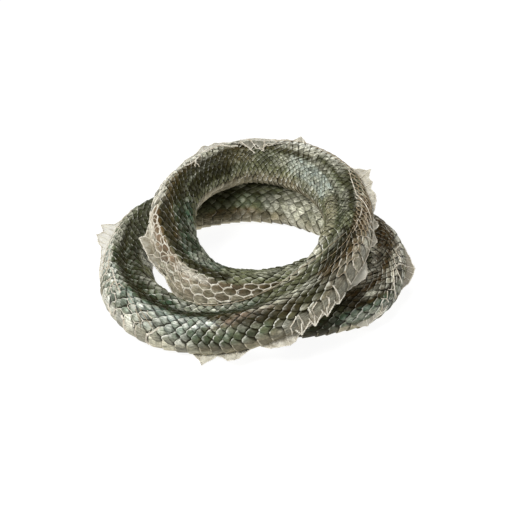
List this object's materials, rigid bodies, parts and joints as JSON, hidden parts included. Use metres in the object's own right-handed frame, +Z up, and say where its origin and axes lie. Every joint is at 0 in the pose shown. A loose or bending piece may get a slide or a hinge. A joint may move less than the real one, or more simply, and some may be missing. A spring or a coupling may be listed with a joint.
{
  "type": "shed snake skin",
  "caption": "Cast snake skin lying in a loose, overlapping coil, dry and papery, with torn, lifted flaps of skin.",
  "frame": {"origin": "under the middle of the coil's bounding box, on the surface it lies on", "axes": "+Z up, +X to the right and +Y away from the viewer, as the picture shows the coil"},
  "size_m": [0.2021, 0.1971, 0.0602],
  "materials": {
    "dry_skin": "dry and papery, satin"
  },
  "bodies": {
    "root": {"shed_skin": "dry_skin"}
  },
  "joints": []
}
